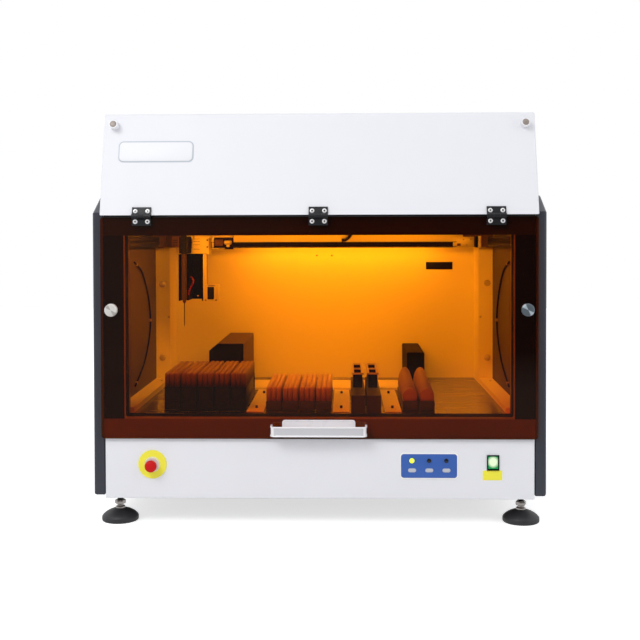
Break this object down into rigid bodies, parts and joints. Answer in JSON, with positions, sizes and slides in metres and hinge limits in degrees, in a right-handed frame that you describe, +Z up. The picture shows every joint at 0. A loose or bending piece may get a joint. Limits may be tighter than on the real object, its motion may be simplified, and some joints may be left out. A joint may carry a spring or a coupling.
{
  "type": "enzyme immunoassay processor",
  "caption": "Bench analyser cabinet with a lift-up amber door over a pipetting gantry and a deck of racks, with controls on the lower front and levelling feet.",
  "frame": {"origin": "on the floor under the middle of the overall box", "axes": "+X to the right seen from the front, +Y to the back, +Z up; the door and controls face -Y"},
  "size_m": [0.95, 0.8022, 0.872],
  "materials": {
    "white_paint": "satin white powder coat",
    "dark_paint": "satin dark paint",
    "white_plastic": "smooth white moulding",
    "black_plastic": "fine-grained black moulding",
    "amber_clear": "clear amber acrylic, polished",
    "steel_sheet": "brushed steel",
    "polished_steel": "turned and polished",
    "aluminium": "satin anodised",
    "black_rubber": "matte black",
    "yellow_plastic": "smooth yellow",
    "red_plastic": "smooth red",
    "blue_plastic": "smooth blue",
    "lit_green": "translucent green, lit",
    "lamp_diffuser": "translucent white, lit"
  },
  "bodies": {
    "cabinet": {"chassis": "steel_sheet", "front_panel": "white_paint", "front_frame": "dark_paint", "side_cover_left": "black_plastic", "side_cover_right": "black_plastic", "hood": "white_paint", "rear_panel": "white_paint", "mains_inlet": "black_plastic", "hinge_hood_leaf_left": "black_plastic", "hinge_hood_leaf_middle": "black_plastic", "hinge_hood_leaf_right": "black_plastic", "stop_disc": "yellow_plastic", "stop_collar": "aluminium", "indicator_panel": "blue_plastic", "rocker_bezel": "black_plastic", "chamber_walls": "white_paint", "chamber_corner_left": "white_paint", "chamber_corner_right": "white_paint", "deck_plate": "aluminium", "chamber_lamp": "lamp_diffuser", "side_tube_left": "black_rubber", "side_tube_right": "black_rubber", "reagent_trough_1": "black_plastic", "reagent_trough_2": "black_plastic", "reader_module": "black_plastic", "incubator_module": "black_plastic", "gantry_rail_left": "aluminium", "gantry_rail_right": "aluminium"},
    "door": {"door_panel": "amber_clear", "door_handle": "white_plastic", "door_cap_left": "polished_steel", "door_cap_right": "polished_steel", "hinge_door_leaf_left": "black_plastic", "hinge_door_leaf_middle": "black_plastic", "hinge_door_leaf_right": "black_plastic"},
    "gantry": {"gantry_beam": "aluminium", "beam_motor": "black_plastic", "drive_belt": "black_rubber"},
    "carriage": {"carriage_block": "aluminium", "probe_housing": "black_plastic", "level_sensor": "aluminium"},
    "probe": {"probe_bar": "steel_sheet", "probe_needle": "polished_steel"},
    "stop": {"stop_button": "red_plastic"},
    "rocker": {"power_rocker": "lit_green"},
    "sample_rack_1_body": {"sample_rack_1": "black_plastic"},
    "sample_rack_2_body": {"sample_rack_2": "black_plastic"},
    "sample_rack_3_body": {"sample_rack_3": "black_plastic"},
    "sample_rack_4_body": {"sample_rack_4": "black_plastic"},
    "sample_rack_5_body": {"sample_rack_5": "black_plastic"},
    "reagent_rack_1_body": {"reagent_rack_1": "black_plastic"},
    "reagent_rack_2_body": {"reagent_rack_2": "black_plastic"},
    "reagent_rack_3_body": {"reagent_rack_3": "black_plastic"},
    "reagent_rack_4_body": {"reagent_rack_4": "black_plastic"},
    "bottle_rack_1_body": {"bottle_rack_1": "black_plastic"},
    "bottle_rack_2_body": {"bottle_rack_2": "black_plastic"},
    "foot_1_body": {"levelling_foot_1": "black_rubber"},
    "foot_2_body": {"levelling_foot_2": "black_rubber"},
    "foot_3_body": {"levelling_foot_3": "black_rubber"},
    "foot_4_body": {"levelling_foot_4": "black_rubber"}
  },
  "joints": [
    {"name": "door_hinge", "type": "hinge", "parent": "cabinet", "child": "door", "pos_m": [0, -0.37605, 0.6525], "axis": [-1, 0, 0], "range_deg": [0, 190]},
    {"name": "gantry_slide", "type": "slide", "parent": "cabinet", "child": "gantry", "axis": [0, 1, 0], "range_m": [-0.25, 0]},
    {"name": "carriage_slide", "type": "slide", "parent": "gantry", "child": "carriage", "axis": [1, 0, 0], "range_m": [0, 0.56]},
    {"name": "probe_slide", "type": "slide", "parent": "carriage", "child": "probe", "axis": [0, 0, 1], "range_m": [-0.13, 0]},
    {"name": "stop_press", "type": "slide", "parent": "cabinet", "child": "stop", "axis": [0, 1, 0], "range_m": [0, 0.004], "stiffness_N_per_m": 900},
    {"name": "rocker_swing", "type": "hinge", "parent": "cabinet", "child": "rocker", "pos_m": [0.3636, -0.36025, 0.136], "axis": [1, 0, 0], "range_deg": [0, 16]},
    {"name": "sample_rack_1_slide", "type": "slide", "parent": "cabinet", "child": "sample_rack_1_body", "axis": [0, -1, 0], "range_m": [0, 0.07]},
    {"name": "sample_rack_2_slide", "type": "slide", "parent": "cabinet", "child": "sample_rack_2_body", "axis": [0, -1, 0], "range_m": [0, 0.07]},
    {"name": "sample_rack_3_slide", "type": "slide", "parent": "cabinet", "child": "sample_rack_3_body", "axis": [0, -1, 0], "range_m": [0, 0.07]},
    {"name": "sample_rack_4_slide", "type": "slide", "parent": "cabinet", "child": "sample_rack_4_body", "axis": [0, -1, 0], "range_m": [0, 0.07]},
    {"name": "sample_rack_5_slide", "type": "slide", "parent": "cabinet", "child": "sample_rack_5_body", "axis": [0, -1, 0], "range_m": [0, 0.07]},
    {"name": "reagent_rack_1_slide", "type": "slide", "parent": "cabinet", "child": "reagent_rack_1_body", "axis": [0, -1, 0], "range_m": [0, 0.07]},
    {"name": "reagent_rack_2_slide", "type": "slide", "parent": "cabinet", "child": "reagent_rack_2_body", "axis": [0, -1, 0], "range_m": [0, 0.07]},
    {"name": "reagent_rack_3_slide", "type": "slide", "parent": "cabinet", "child": "reagent_rack_3_body", "axis": [0, -1, 0], "range_m": [0, 0.07]},
    {"name": "reagent_rack_4_slide", "type": "slide", "parent": "cabinet", "child": "reagent_rack_4_body", "axis": [0, -1, 0], "range_m": [0, 0.07]},
    {"name": "bottle_rack_1_slide", "type": "slide", "parent": "cabinet", "child": "bottle_rack_1_body", "axis": [0, -1, 0], "range_m": [0, 0.07]},
    {"name": "bottle_rack_2_slide", "type": "slide", "parent": "cabinet", "child": "bottle_rack_2_body", "axis": [0, -1, 0], "range_m": [0, 0.07]},
    {"name": "foot_1_turn", "type": "hinge", "parent": "cabinet", "child": "foot_1_body", "pos_m": [-0.43, -0.31175, 0], "axis": [0, 0, 1], "continuous": true},
    {"name": "foot_2_turn", "type": "hinge", "parent": "cabinet", "child": "foot_2_body", "pos_m": [0.43, -0.31175, 0], "axis": [0, 0, 1], "continuous": true},
    {"name": "foot_3_turn", "type": "hinge", "parent": "cabinet", "child": "foot_3_body", "pos_m": [-0.43, 0.34825, 0], "axis": [0, 0, 1], "continuous": true},
    {"name": "foot_4_turn", "type": "hinge", "parent": "cabinet", "child": "foot_4_body", "pos_m": [0.43, 0.34825, 0], "axis": [0, 0, 1], "continuous": true}
  ]
}
